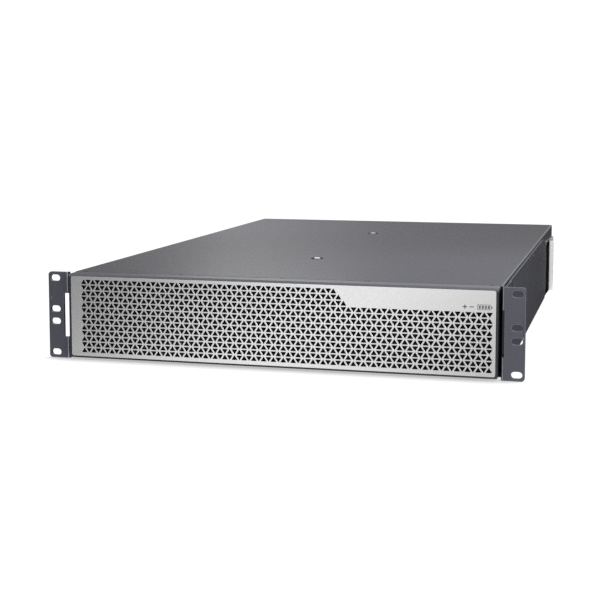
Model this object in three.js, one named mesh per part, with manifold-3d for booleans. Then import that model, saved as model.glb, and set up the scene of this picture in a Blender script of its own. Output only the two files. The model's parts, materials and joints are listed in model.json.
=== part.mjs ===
// Two-unit rack battery: a steel box with a pull-off bezel, held in a rack by two long L-shaped ears.
// Millimetres, +Z up. The front faces -Y, and +X is to the right of someone who faces it.
// The sub-parts are drawn with Y = 0 at the front plane of the ears, and the last lines move them so
// that the origin is in the middle of the underside of the whole object.

import * as THREE from 'three';
import { mergeVertices } from 'three/addons/utils/BufferGeometryUtils.js';
import Module from 'manifold-3d';

const wasm = await Module();
wasm.setup();

// ---------------------------------------------------------------- driving dimensions

const GAP = 0.3; // between pieces that touch
const GAUGE = 1.2; // sheet steel of the case
const EAR_GAUGE = 2; // sheet steel of the ears' side plates
const FLANGE_GAUGE = 3; // steel of the ears' slotted flanges

// Rack face: 19-inch equipment, two units high
const RACK_WIDTH = 481;
const RACK_HEIGHT = 88.1;
const EAR_CORNER = 3;
const SLOT_COLUMN = 466 / 2; // the slots' length takes in the rack's 465.1
const SLOT_LOWEST = 5.7;
const SLOT_STEPS = [0, 31.75, 44.45, 76.2];
const SLOT_LENGTH = 10.6;
const SLOT_HEIGHT = 6.6;

// Case
const CASE_FRONT = 16;
const CASE_REAR = 682;
const FLOOR = 1.5;
const WALL = 217.9; // outer face of the lower side walls
const JOGGLE = 1.6; // the upper walls step in, so that the lid's flanges lie flush
const JOGGLE_HEIGHT = 66;
const WALL_TOP = 84;
const UPPER_WALL = WALL - JOGGLE;
const LID_TOP = 87.4;
const LID_HALF = 217.8;
const LID_FRONT = 15;
const LID_REAR = 694.5;
const LID_FLANGE_BOTTOM = 68;
const LID_FLANGE_FRONT = 80;
const LID_UNDERSIDE = LID_TOP - GAUGE;
const LID_SCREW_X = -6.5;
const LID_SCREW_DEPTHS = { front: 191, rear: 500 };

// Ears
const EAR_INNER = 218.3;
const EAR_OUTER = EAR_INNER + EAR_GAUGE;
const EAR_LENGTH = 550;
const EAR_TOP = 85;
const EAR_BOTTOM = 3.2;
const EAR_TAPER = { start: 484, middle: 528, middleTop: 80, end: 545, endTop: 71, cornerTop: 62 };
const EAR_CHAMFER = 14; // of the lower rear corner
const FINGER_NOTCH = { left: 223.9, right: 221.3, depth: 9, bottom: 21.6, top: 66.5 };
const EAR_SCREW = { y: 77, z: 80.2 };

// Bezel
const BEZEL_HALF = 215.8;
const BEZEL_FRONT = -5;
const BEZEL_BACK = 13;
const BEZEL_BOTTOM = 2.1;
const BEZEL_WALL = 2.2;
const PLATE_HALF = 213.7;
const PLATE_BOTTOM = 3.7;
const PLATE_TOP = 85.1;
const PLATE_FACE = -4.7;
const PLATE_GAUGE = 1.2;
const BEZEL_LEDGE = 2.6;
const TOP_TONGUES = [-207, -102.7, 1.4, 87.5, 207];
const BOTTOM_TONGUES = [-150, 150];
const TONGUE_WIDTH = 7;
const TONGUE_END = 26;
const FRONT_PANEL = 30;
const FRONT_PANEL_FLANGE = 6;

// Power section and rear panel
const PANEL_REAR = CASE_REAR - GAP;
const PANEL_FRONT = PANEL_REAR - GAUGE;
const MID_HEIGHT = 43.5;
const FANS = { left: -165, right: -95 };
const FAN_SIZE = 60;
const FAN_DEPTH = 25;
const FAN_BORE = 28.4;
const CONNECTORS = { in: 36, out: 102 };
const CONNECTOR = { width: 52, height: 31, flange: 3, front: 655, rear: 700 };
const CAVITY = { width: 19.5, height: 21, depth: 28, spacing: 24 };
const BREAKER = { x: 160, width: 27, height: 70, front: 612, face: 46, pivotY: 681 };
const COMMS = { x: -30, z: 61, width: 38, height: 17 };
const BUTTON = { x: -20, z: 33, radius: 4.6, travel: 2.5 };
const LENS = { x: -42, z: 33, radius: 2.4 };
const EARTH = { x: 196, z: 21 };
const BRACKET = { inner: 218.2, outer: 220, front: 627, rear: 707, bottom: 1, top: 71 };
const BRACKET_FLANGE = 224.6; // outer edge of its front flange
const BRACKET_LIP = 14; // width of its rear flange
const BRACKET_CORNER = 12;
const BRACKET_SCREW = { y: 660, upper: 54, lower: 16, hole: 2.3, shank: 2, head: 4.2 };

// Battery
const BLOCK = { width: 204, length: 226, bottom: 2.9, top: 72, middleGap: 8, front: 38, cells: 8 };
const BAR_LEVEL = 72.4;
const BAR_THICKNESS = 2.4;

// ---------------------------------------------------------------- materials

function finish(color, roughness, metalness) {
  return new THREE.MeshStandardMaterial({ color, roughness, metalness });
}

const charcoalPaint = finish(0x4b4e55, 0.5, 0.3);
const blackSteel = finish(0x1b1c1f, 0.6, 0.3);
const silverPlate = finish(0xc4c6c8, 0.35, 0.9);
const bezelPlastic = finish(0x54575d, 0.45, 0.0);
const blackPlastic = finish(0x17181a, 0.55, 0.0);
const filterFoam = finish(0x0c0c0d, 0.95, 0.0);
const zinc = finish(0xc9cdc6, 0.3, 1.0);
const screwSteel = finish(0xb4b7ba, 0.3, 1.0);
const copper = finish(0xb46a3c, 0.35, 1.0);
const tinned = finish(0xb9bdc0, 0.3, 1.0);
const cellBlue = finish(0x2f4a78, 0.5, 0.1);
const boardGreen = finish(0x1e5636, 0.5, 0.0);
const castAluminium = finish(0x9fa3a7, 0.4, 0.9);
const fishPaper = finish(0xd8d0b4, 0.8, 0.0);
const redPlastic = finish(0xa81f1b, 0.45, 0.0);
const clearLens = finish(0x8fd6a0, 0.15, 0.0);
const buttonPlastic = finish(0x2a2c30, 0.4, 0.0);

// ---------------------------------------------------------------- solids

function toSolid(geometry) {
  const bare = geometry.clone();
  bare.deleteAttribute('normal');
  bare.deleteAttribute('uv');
  const merged = mergeVertices(bare, 1e-3);
  const vertProperties = Float32Array.from(merged.attributes.position.array);
  const triVerts = Uint32Array.from(merged.index.array);
  return new wasm.Manifold(new wasm.Mesh({ numProp: 3, vertProperties, triVerts }));
}

function toGeometry(solid) {
  const mesh = solid.getMesh();
  const geometry = new THREE.BufferGeometry();
  geometry.setAttribute('position', new THREE.BufferAttribute(mesh.vertProperties, 3));
  geometry.setIndex(new THREE.BufferAttribute(mesh.triVerts, 1));
  geometry.computeVertexNormals();
  return geometry;
}

function join(...geometries) {
  return toGeometry(geometries.map(toSolid).reduce((sum, solid) => sum.add(solid)));
}

function cut(geometry, ...tools) {
  return toGeometry(tools.map(toSolid).reduce((rest, tool) => rest.subtract(tool), toSolid(geometry)));
}

function common(a, b) {
  return toGeometry(toSolid(a).intersect(toSolid(b)));
}

function box(x0, x1, y0, y1, z0, z1) {
  const geometry = new THREE.BoxGeometry(x1 - x0, y1 - y0, z1 - z0);
  return geometry.translate((x0 + x1) / 2, (y0 + y1) / 2, (z0 + z1) / 2);
}

// A box of the given width and height around (x, z), from y0 to y1.
function bar(x, z, width, height, y0, y1) {
  return box(x - width / 2, x + width / 2, y0, y1, z - height / 2, z + height / 2);
}

function extrude(shape, depth, curveSegments) {
  return new THREE.ExtrudeGeometry(shape, { depth, curveSegments, steps: 1, bevelEnabled: false });
}

// The shape's x and y become Y and Z, and it is pushed out along X.
function extrudeX(shape, x0, x1, curveSegments = 4) {
  const turned = new THREE.Matrix4().set(0, 0, 1, x0, 1, 0, 0, 0, 0, 1, 0, 0, 0, 0, 0, 1);
  return extrude(shape, x1 - x0, curveSegments).applyMatrix4(turned);
}

// The shape's x and y become X and Z, and it is pushed out along Y.
function extrudeY(shape, y0, y1, curveSegments = 4) {
  const turned = new THREE.Matrix4().set(1, 0, 0, 0, 0, 0, -1, y1, 0, 1, 0, 0, 0, 0, 0, 1);
  return extrude(shape, y1 - y0, curveSegments).applyMatrix4(turned);
}

function extrudeZ(shape, z0, z1, curveSegments = 4) {
  return extrude(shape, z1 - z0, curveSegments).translate(0, 0, z0);
}

function outline(points) {
  return new THREE.Shape(points.map(([x, y]) => new THREE.Vector2(x, y)));
}

// An outline that is its own mirror image: the points of the right half, from bottom to top.
function mirroredOutline(rightHalf) {
  const leftHalf = rightHalf.map(([x, y]) => [-x, y]).reverse();
  return outline([...rightHalf, ...leftHalf]);
}

function roundedRectangle(x, y, width, height, radius) {
  const [left, right] = [x - width / 2, x + width / 2];
  const [bottom, top] = [y - height / 2, y + height / 2];
  const shape = new THREE.Shape();
  shape.absarc(right - radius, bottom + radius, radius, -Math.PI / 2, 0);
  shape.absarc(right - radius, top - radius, radius, 0, Math.PI / 2);
  shape.absarc(left + radius, top - radius, radius, Math.PI / 2, Math.PI);
  shape.absarc(left + radius, bottom + radius, radius, Math.PI, 1.5 * Math.PI);
  return shape;
}

function slot(x, y, length, height) {
  const [half, radius] = [length / 2, height / 2];
  const shape = new THREE.Shape();
  shape.absarc(x + half - radius, y, radius, -Math.PI / 2, Math.PI / 2);
  shape.absarc(x - half + radius, y, radius, Math.PI / 2, 1.5 * Math.PI);
  return shape;
}

// A round bar along Y.
function rod(x, z, radius, y0, y1, sides = 16) {
  const geometry = new THREE.CylinderGeometry(radius, radius, y1 - y0, sides);
  return geometry.translate(x, (y0 + y1) / 2, z);
}

// A round bar along Z.
function post(x, y, radius, z0, z1, sides = 16) {
  const geometry = new THREE.CylinderGeometry(radius, radius, z1 - z0, sides).rotateX(Math.PI / 2);
  return geometry.translate(x, y, (z0 + z1) / 2);
}

// A round bar along X.
function spindle(y, z, radius, x0, x1, sides = 16) {
  const geometry = new THREE.CylinderGeometry(radius, radius, x1 - x0, sides).rotateZ(Math.PI / 2);
  return geometry.translate((x0 + x1) / 2, y, z);
}

// ---------------------------------------------------------------- assembly

const unit = new THREE.Group();

function add(name, geometry, material) {
  const mesh = new THREE.Mesh(geometry, material);
  mesh.name = name;
  unit.add(mesh);
  return mesh;
}

function addMirrored(name, geometry, material) {
  add(name, geometry, material).scale.x = -1;
}

// ---------------------------------------------------------------- case

// The tray: floor and side walls folded from one sheet, with the upper walls stepped in.
function chassisBase() {
  const step = JOGGLE_HEIGHT + JOGGLE;
  const section = mirroredOutline([
    [WALL, 0],
    [WALL, JOGGLE_HEIGHT],
    [UPPER_WALL, step],
    [UPPER_WALL, WALL_TOP],
    [UPPER_WALL - GAUGE, WALL_TOP],
    [UPPER_WALL - GAUGE, step - GAUGE / 2],
    [WALL - GAUGE, JOGGLE_HEIGHT - GAUGE / 2],
    [WALL - GAUGE, FLOOR],
  ]);
  const screwHoles = [spindle(EAR_SCREW.y, EAR_SCREW.z, 2.2, -WALL, WALL, 10)];
  for (const z of [BRACKET_SCREW.upper, BRACKET_SCREW.lower])
    screwHoles.push(spindle(BRACKET_SCREW.y, z, BRACKET_SCREW.hole, -WALL - 1, WALL + 1, 10));
  return cut(extrudeY(section, CASE_FRONT, CASE_REAR), ...screwHoles);
}

// The lid: its flanges lie on the stepped-in walls, and its rear edge hangs over the rear panel.
function topCover() {
  const bend = 1.4;
  const section = mirroredOutline([
    [LID_HALF - GAUGE, LID_UNDERSIDE],
    [LID_HALF - GAUGE, LID_FLANGE_BOTTOM],
    [LID_HALF, LID_FLANGE_BOTTOM],
    [LID_HALF, LID_TOP - bend],
    [LID_HALF - bend * 0.3, LID_TOP - bend * 0.3],
    [LID_HALF - bend, LID_TOP],
  ]);
  const tools = [box(-LID_HALF, LID_HALF, 0, LID_FLANGE_FRONT, LID_FLANGE_BOTTOM - 1, LID_UNDERSIDE)];
  for (const y of Object.values(LID_SCREW_DEPTHS)) tools.push(post(LID_SCREW_X, y, 5.6, 80, 90, 20));
  for (const side of [-1, 1]) tools.push(post(side * 210.6, 53.4, 1.6, 80, 90, 10));
  for (const x of TOP_TONGUES) tools.push(box(x - 3, x + 3, LID_FRONT - 1, LID_FRONT + 2, 80, 90));
  return cut(extrudeY(section, LID_FRONT, LID_REAR), ...tools);
}

// A flat-head screw whose head lies flush in the lid and whose shank ends in the beam below.
function lidScrew(y) {
  const head = post(LID_SCREW_X, y, 4.7, LID_UNDERSIDE - 0.9, LID_TOP - 0.15, 20);
  const shank = post(LID_SCREW_X, y, 2, LID_UNDERSIDE - 9, LID_UNDERSIDE, 12);
  const recess = post(LID_SCREW_X, y, 1.6, LID_TOP - 1.2, LID_TOP + 1, 6);
  return cut(join(head, shank), recess);
}

// A channel across the case that carries a lid screw and stiffens the side walls.
function crossBeam(y) {
  const [half, bottom, top] = [UPPER_WALL - GAUGE - 0.6, 76, LID_UNDERSIDE - 1.2];
  const channel = cut(
    box(-half, half, y - 10, y + 10, bottom, top),
    box(-half - 1, half + 1, y - 10 + GAUGE, y + 10 - GAUGE, bottom - 1, top - 1.5),
  );
  return cut(channel, post(LID_SCREW_X, y, 2.4, 70, 90, 12));
}

// The sheet behind the bezel: two rows of air windows, and openings for the bezel's tongues.
function innerFrontPanel() {
  const half = UPPER_WALL - GAUGE - 0.6;
  const [bottom, top] = [FLOOR + 0.5, WALL_TOP + 0.6];
  const sheet = box(-half, half, FRONT_PANEL, FRONT_PANEL + GAUGE, bottom, top);
  const flanges = [-1, 1].map((side) => {
    const middle = side * (half - GAUGE / 2);
    const [left, right] = [middle - GAUGE / 2, middle + GAUGE / 2];
    return box(left, right, FRONT_PANEL, FRONT_PANEL + FRONT_PANEL_FLANGE, bottom, top);
  });
  const windows = [];
  for (const z of [25.5, 59.5])
    for (let column = 0; column < 6; column += 1)
      windows.push(bar(-175 + 70 * column, z, 56, 26, FRONT_PANEL - 1, FRONT_PANEL + 2));
  return cut(join(sheet, ...flanges), ...windows);
}

// The rear panel, with an opening for each piece that looks out of it.
function rearPanel() {
  const half = UPPER_WALL - GAUGE - 0.7;
  const [bottom, top] = [FLOOR + 0.5, LID_UNDERSIDE - 0.5];
  const sheet = box(-half, half, PANEL_FRONT, PANEL_REAR, bottom, top);
  const flanges = [
    box(-half, -half + GAUGE, PANEL_FRONT - 12, PANEL_REAR, bottom, top),
    box(half - GAUGE, half, PANEL_FRONT - 12, PANEL_REAR, bottom, top),
  ];
  const [front, back] = [PANEL_FRONT - 1, PANEL_REAR + 1];
  const tools = [
    bar(BREAKER.x, MID_HEIGHT, BREAKER.width + 1, BREAKER.face + 1, front, back),
    bar(COMMS.x, COMMS.z, COMMS.width + 1, COMMS.height + 1, front, back),
    rod(BUTTON.x, BUTTON.z, BUTTON.radius + 0.5, front, back, 16),
    rod(LENS.x, LENS.z, LENS.radius + 0.4, front, back, 12),
    rod(EARTH.x, EARTH.z, 3.4, front, back, 12),
  ];
  for (const x of Object.values(FANS)) tools.push(rod(x, MID_HEIGHT, FAN_BORE, front, back, 28));
  for (const x of Object.values(CONNECTORS))
    tools.push(bar(x, MID_HEIGHT - 6, CONNECTOR.width + 1, CONNECTOR.height + 1, front, back));
  for (let index = 0; index < 12; index += 1)
    tools.push(bar(14 + 10 * index, 73, 3.4, 14, front, back));
  return cut(join(sheet, ...flanges), ...tools);
}

// ---------------------------------------------------------------- ears and rear brackets

// The right ear: a slotted flange folded outward from a long side plate. The left ear is its mirror
// image, apart from the outer edge of the finger notch.
function rackEar(notchEdge) {
  const [outerBend, innerBend, right] = [2.6, 0.8, RACK_WIDTH / 2];
  const bendEnd = FLANGE_GAUGE + innerBend;
  const section = new THREE.Shape();
  section.moveTo(right, 0);
  section.lineTo(right, FLANGE_GAUGE);
  section.lineTo(EAR_OUTER + innerBend, FLANGE_GAUGE);
  section.absarc(EAR_OUTER + innerBend, bendEnd, innerBend, -Math.PI / 2, Math.PI, true);
  section.lineTo(EAR_OUTER, EAR_LENGTH);
  section.lineTo(EAR_INNER, EAR_LENGTH);
  section.lineTo(EAR_INNER, outerBend);
  section.absarc(EAR_INNER + outerBend, outerBend, outerBend, Math.PI, 1.5 * Math.PI);
  const folded = extrudeZ(section, 0, RACK_HEIGHT, 3);

  const face = roundedRectangle(0, RACK_HEIGHT / 2, RACK_WIDTH, RACK_HEIGHT, EAR_CORNER);
  const rounded = common(folded, extrudeY(face, -1, EAR_LENGTH + 1, 3));

  const above = outline([
    [bendEnd + 1, RACK_HEIGHT + 1],
    [bendEnd + 1, EAR_TOP],
    [EAR_TAPER.start, EAR_TOP],
    [EAR_TAPER.middle, EAR_TAPER.middleTop],
    [EAR_TAPER.end, EAR_TAPER.endTop],
    [EAR_LENGTH, EAR_TAPER.cornerTop],
    [EAR_LENGTH + 1, EAR_TAPER.cornerTop],
    [EAR_LENGTH + 1, RACK_HEIGHT + 1],
  ]);
  const below = outline([
    [bendEnd + 1, -1],
    [EAR_LENGTH + 1, -1],
    [EAR_LENGTH + 1, EAR_BOTTOM + EAR_CHAMFER + 1],
    [EAR_LENGTH - EAR_CHAMFER, EAR_BOTTOM],
    [bendEnd + 1, EAR_BOTTOM],
  ]);
  const tools = [
    extrudeX(above, EAR_INNER - 1, EAR_OUTER + 1),
    extrudeX(below, EAR_INNER - 1, EAR_OUTER + 1),
    box(EAR_INNER - 1, notchEdge, -1, FINGER_NOTCH.depth, FINGER_NOTCH.bottom, FINGER_NOTCH.top),
    spindle(EAR_SCREW.y, EAR_SCREW.z, 3.8, EAR_INNER - 1, EAR_OUTER + 1, 16),
  ];
  for (const step of SLOT_STEPS)
    tools.push(extrudeY(slot(SLOT_COLUMN, SLOT_LOWEST + step, SLOT_LENGTH, SLOT_HEIGHT), -1, 4, 4));
  return cut(rounded, ...tools);
}

function earScrew() {
  const head = spindle(EAR_SCREW.y, EAR_SCREW.z, 3.4, LID_HALF + GAP, EAR_OUTER - 0.2, 16);
  const shank = spindle(EAR_SCREW.y, EAR_SCREW.z, 1.8, UPPER_WALL - 5, LID_HALF + 1, 10);
  const recess = spindle(EAR_SCREW.y, EAR_SCREW.z, 1.2, EAR_OUTER - 1.2, EAR_OUTER + 1, 6);
  return cut(join(head, shank), recess);
}

// The right rear bracket: a bright plate on the side wall, folded outward at its front and inward
// round the case's rear corner.
function rearBracket() {
  const { inner, outer, front, rear, bottom, top } = BRACKET;
  const gauge = outer - inner;
  const bend = gauge + 0.6;
  const section = new THREE.Shape();
  section.moveTo(BRACKET_FLANGE, front);
  section.lineTo(BRACKET_FLANGE, front + gauge);
  section.lineTo(outer, front + gauge);
  section.lineTo(outer, rear);
  section.lineTo(outer - BRACKET_LIP, rear);
  section.lineTo(outer - BRACKET_LIP, rear - gauge);
  section.lineTo(inner, rear - gauge);
  section.lineTo(inner, front + bend);
  section.absarc(inner + bend, front + bend, bend, Math.PI, 1.5 * Math.PI);
  const corner = outline([
    [rear - BRACKET_CORNER, top + 1],
    [rear - BRACKET_CORNER, top],
    [rear + 1, top - BRACKET_CORNER - 1],
    [rear + 1, top + 1],
  ]);
  const holes = [BRACKET_SCREW.upper, BRACKET_SCREW.lower].map((z) =>
    spindle(BRACKET_SCREW.y, z, BRACKET_SCREW.hole, inner - 1, outer + 1, 12));
  const folded = extrudeZ(section, bottom, top, 3);
  return cut(folded, extrudeX(corner, outer - BRACKET_LIP - 1, outer + 1), ...holes);
}

// A round-headed screw that holds a bracket to the side wall.
function bracketScrew(z) {
  const { y, shank, head } = BRACKET_SCREW;
  const face = BRACKET.outer + GAP;
  const crown = spindle(y, z, head, face, face + 1.9, 16);
  const body = spindle(y, z, shank, WALL - 6, face + 1, 12);
  return cut(join(crown, body), spindle(y, z, 1.4, face + 1, face + 3, 6));
}

// ---------------------------------------------------------------- bezel

// The moulded frame: a front border, a ledge that the plate sits on, and snap tongues behind.
function bezelFrame() {
  const [middle, height] = [(BEZEL_BOTTOM + LID_TOP) / 2, LID_TOP - BEZEL_BOTTOM];
  const rim = roundedRectangle(0, middle, 2 * BEZEL_HALF, height, 1.5);
  const block = extrudeY(rim, BEZEL_FRONT, BEZEL_BACK, 2);
  const plateBack = PLATE_FACE + PLATE_GAUGE + GAP;
  const plateMiddle = (PLATE_TOP + PLATE_BOTTOM) / 2;
  const [plateWidth, plateHeight] = [2 * (PLATE_HALF + GAP), PLATE_TOP - PLATE_BOTTOM + 2 * GAP];
  const pocket = extrudeY(
    roundedRectangle(0, plateMiddle, plateWidth, plateHeight, 2.2), BEZEL_FRONT - 1, plateBack, 2);
  const [windowWidth, windowHeight] = [plateWidth - 2 * BEZEL_LEDGE, plateHeight - 2 * 1.7];
  const hollowHeight = height - 2 * BEZEL_WALL;
  const hollow = bar(0, middle, 2 * (BEZEL_HALF - BEZEL_WALL), hollowHeight, plateBack + 2, BEZEL_BACK + 1);
  const window = bar(0, plateMiddle, windowWidth, windowHeight, BEZEL_FRONT, BEZEL_BACK);
  const tongues = [
    ...TOP_TONGUES.map((x) => bar(x, LID_UNDERSIDE - 1.8, TONGUE_WIDTH, 2.4, 8, TONGUE_END)),
    ...BOTTOM_TONGUES.map((x) => bar(x, BEZEL_BOTTOM + 2.4, TONGUE_WIDTH, 2.6, 8, TONGUE_END)),
  ];
  return join(cut(block, pocket, window, hollow), ...tongues);
}

function bezelGrille() {
  const [middle, height] = [(PLATE_TOP + PLATE_BOTTOM) / 2, PLATE_TOP - PLATE_BOTTOM];
  const face = roundedRectangle(0, middle, 2 * PLATE_HALF, height, 2);
  return extrudeY(face, PLATE_FACE, PLATE_FACE + PLATE_GAUGE, 3);
}

function dustFilter() {
  const half = BEZEL_HALF - BEZEL_WALL - 0.5;
  const front = PLATE_FACE + PLATE_GAUGE + 2 + 2 * GAP;
  return box(-half, half, front, front + 5.5, BEZEL_BOTTOM + BEZEL_WALL + 0.5, LID_TOP - BEZEL_WALL - 0.5);
}

// ---------------------------------------------------------------- fans

// A square fan housing along Y with a round duct, screw holes and a motor seat on four struts.
function fanFrame(x) {
  const back = PANEL_FRONT - GAP;
  const front = back - FAN_DEPTH;
  const face = roundedRectangle(x, MID_HEIGHT, FAN_SIZE, FAN_SIZE, 3);
  const tools = [rod(x, MID_HEIGHT, FAN_BORE, front - 1, back + 1, 28)];
  for (const dx of [-25, 25])
    for (const dz of [-25, 25]) tools.push(rod(x + dx, MID_HEIGHT + dz, 2.2, front - 1, back + 1, 8));
  const ring = cut(extrudeY(face, front, back, 2), ...tools);
  const seat = rod(x, MID_HEIGHT, 12.5, back - 4, back, 16);
  const reach = 2 * FAN_BORE + 2;
  const struts = [bar(x, MID_HEIGHT, reach, 3, back - 3, back), bar(x, MID_HEIGHT, 3, reach, back - 3, back)];
  return join(ring, seat, ...struts);
}

// A hub with seven pitched blades, drawn about its own centre.
function fanRotor() {
  const [hub, tip, length, blades] = [12, FAN_BORE - 1.2, 15, 7];
  const pieces = [rod(0, 0, hub, -length / 2, length / 2, 16)];
  for (let index = 0; index < blades; index += 1) {
    const blade = new THREE.BoxGeometry(tip - hub + 2, 13, 1.4);
    blade.rotateX(0.7).translate((tip + hub - 2) / 2, 0, 0);
    pieces.push(blade.rotateY((index * 2 * Math.PI) / blades));
  }
  return join(...pieces);
}

// A stamped guard: an outer ring and an inner ring on crossed arms that reach the screws.
function fingerGuard(x) {
  const [front, back] = [PANEL_REAR + GAP, PANEL_REAR + GAP + GAUGE];
  const ring = (outer, inner) =>
    cut(rod(x, MID_HEIGHT, outer, front, back, 20), rod(x, MID_HEIGHT, inner, front - 1, back + 1, 20));
  const arm = (turn) => {
    const piece = bar(0, 0, 76, 3, front, back).rotateY(turn);
    return piece.translate(x, 0, MID_HEIGHT);
  };
  const arms = join(arm(Math.PI / 4), arm(-Math.PI / 4));
  return join(arms, ring(28, 25.5), ring(18.5, 16), rod(x, MID_HEIGHT, 9, front, back, 16));
}

function addFans() {
  for (const [side, x] of Object.entries(FANS)) {
    add(`fan_frame_${side}`, fanFrame(x), blackPlastic);
    const rotor = add(`fan_rotor_${side}`, fanRotor(), blackPlastic);
    rotor.position.set(x, PANEL_FRONT - GAP - FAN_DEPTH + 11, MID_HEIGHT);
    add(`finger_guard_${side}`, fingerGuard(x), screwSteel);
  }
}

// ---------------------------------------------------------------- connectors and controls

// A two-pole housing with a flange outside the panel and one deep cavity for each pole.
function connectorHousing(x) {
  const z = MID_HEIGHT - 6;
  const body = bar(x, z, CONNECTOR.width, CONNECTOR.height, CONNECTOR.front, CONNECTOR.rear);
  const seat = PANEL_REAR + GAP;
  const flange = bar(x, z, CONNECTOR.width + 8, CONNECTOR.height + 6, seat, seat + CONNECTOR.flange);
  const cavities = [-1, 1].map((side) =>
    bar(x + (side * CAVITY.spacing) / 2, z, CAVITY.width, CAVITY.height,
      CONNECTOR.rear - CAVITY.depth, CONNECTOR.rear + 1));
  return cut(join(body, flange), ...cavities);
}

function connectorContact(x, side) {
  const back = CONNECTOR.rear - CAVITY.depth + GAP;
  return bar(x + (side * CAVITY.spacing) / 2, MID_HEIGHT - 6, 12, 3, back, CONNECTOR.rear - 6);
}

function addConnectors() {
  for (const [role, x] of Object.entries(CONNECTORS)) {
    add(`dc_connector_${role}`, connectorHousing(x), blackPlastic);
    add(`dc_${role}_contact_negative`, connectorContact(x, -1), tinned);
    add(`dc_${role}_contact_positive`, connectorContact(x, 1), tinned);
  }
}

// The breaker: a tall case behind the panel, and a face that comes through it with a toggle slot.
function breakerBody() {
  const { x, width, height, face, front } = BREAKER;
  const body = bar(x, MID_HEIGHT, width, height, front, PANEL_FRONT - GAP);
  const nose = bar(x, MID_HEIGHT, width, face, PANEL_FRONT - 2, PANEL_REAR + 4);
  return cut(join(body, nose), bar(x, MID_HEIGHT, 11, 32, PANEL_FRONT - 16, PANEL_REAR + 5));
}

// The toggle, drawn about its pivot and leaning up, as it stands when the breaker is on.
function breakerToggle() {
  const drum = spindle(0, 0, 6.5, -4.8, 4.8, 18);
  const handle = box(-4, 4, 2, 17, -2.4, 2.4).rotateX(0.42);
  return join(drum, handle);
}

// The block of two communication sockets, open to the rear.
function commsBlock() {
  const body = bar(COMMS.x, COMMS.z, COMMS.width, COMMS.height, 662, 685);
  const sockets = [-1, 1].map((side) => bar(COMMS.x + side * 9, COMMS.z, 12.2, 9, 671, 686));
  return cut(body, ...sockets);
}

function startButton() {
  const cap = rod(BUTTON.x, BUTTON.z, BUTTON.radius, PANEL_FRONT - 9, PANEL_REAR + 3.5, 20);
  return join(cap, rod(BUTTON.x, BUTTON.z, BUTTON.radius + 1.6, PANEL_FRONT - 9, PANEL_FRONT - 6, 20));
}

function buttonSwitch() {
  return bar(BUTTON.x, BUTTON.z, 14, 14, PANEL_FRONT - 26, PANEL_FRONT - 9 - BUTTON.travel - 1);
}

function earthStud() {
  const bolt = rod(EARTH.x, EARTH.z, 3, PANEL_FRONT - 6, PANEL_REAR + 15, 12);
  return join(bolt, rod(EARTH.x, EARTH.z, 5.8, PANEL_REAR + GAP, PANEL_REAR + 6, 6));
}

function addControls() {
  add('breaker_body', breakerBody(), blackPlastic);
  add('breaker_toggle', breakerToggle(), redPlastic).position.set(BREAKER.x, BREAKER.pivotY, MID_HEIGHT);
  add('comms_sockets', commsBlock(), blackPlastic);
  add('start_button', startButton(), buttonPlastic);
  add('start_button_switch', buttonSwitch(), blackPlastic);
  add('status_lens', rod(LENS.x, LENS.z, LENS.radius, PANEL_FRONT - 8, PANEL_REAR + 1.5, 12), clearLens);
  add('earth_stud', earthStud(), screwSteel);
}

// ---------------------------------------------------------------- battery and power section

// Eight prismatic cells strapped side by side: the joints between them show as grooves.
function cellBlock(x, y) {
  const { width, length, bottom, top, cells } = BLOCK;
  const block = box(x - width / 2, x + width / 2, y, y + length, bottom, top);
  const pitch = length / cells;
  const grooves = [];
  for (let joint = 1; joint < cells; joint += 1) {
    const seam = y + joint * pitch;
    grooves.push(box(x - width, x + width, seam - 0.8, seam + 0.8, top - 1.6, top + 1));
  }
  return cut(block, ...grooves);
}

function blockPlaces() {
  const x = BLOCK.width / 2 + BLOCK.middleGap / 2;
  const rearY = BLOCK.front + BLOCK.length + BLOCK.middleGap;
  return {
    front_left: [-x, BLOCK.front],
    front_right: [x, BLOCK.front],
    rear_left: [-x, rearY],
    rear_right: [x, rearY],
  };
}

// A flat copper bar that lies on the blocks.
function flatBar(x0, x1, y0, y1) {
  return box(x0, x1, y0, y1, BAR_LEVEL, BAR_LEVEL + BAR_THICKNESS);
}

// A main bar: along the top of a rear block, down behind it, and on to the power section.
function mainBar(x, end) {
  const [top, rear] = [BAR_LEVEL + BAR_THICKNESS, BLOCK.front + 2 * BLOCK.length + BLOCK.middleGap + 4];
  return join(
    flatBar(x - 9, x + 9, rear - 40, rear + BAR_THICKNESS),
    box(x - 9, x + 9, rear, rear + BAR_THICKNESS, 30, top),
    box(x - 9, x + 9, rear, end, 30, 30 + BAR_THICKNESS),
  );
}

// A foam strip that holds a pair of blocks down against the floor.
function foamStrip(x) {
  return box(x - 15, x + 15, 215, 478, BLOCK.top + GAP, LID_UNDERSIDE - GAP);
}

function addBattery() {
  for (const [place, [x, y]] of Object.entries(blockPlaces()))
    add(`cell_block_${place}`, cellBlock(x, y), cellBlue);
  const seam = BLOCK.front + BLOCK.length + BLOCK.middleGap / 2;
  add('link_left', flatBar(-190, -172, seam - 26, seam + 26), copper);
  add('link_right', flatBar(172, 190, seam - 26, seam + 26), copper);
  add('link_front', flatBar(-26, 26, BLOCK.front + 8, BLOCK.front + 26), copper);
  add('main_bar_negative', mainBar(-40, 560), copper);
  add('main_bar_positive', mainBar(40, 540), copper);
  const sheetRear = BLOCK.front + 2 * BLOCK.length + BLOCK.middleGap;
  for (const [side, x] of [['left', -110], ['right', 110]])
    add(`foam_strip_${side}`, foamStrip(x), filterFoam);
  add('insulating_sheet', box(-206, 206, BLOCK.front, sheetRear, FLOOR + GAP, BLOCK.bottom - GAP), fishPaper);
}

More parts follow.
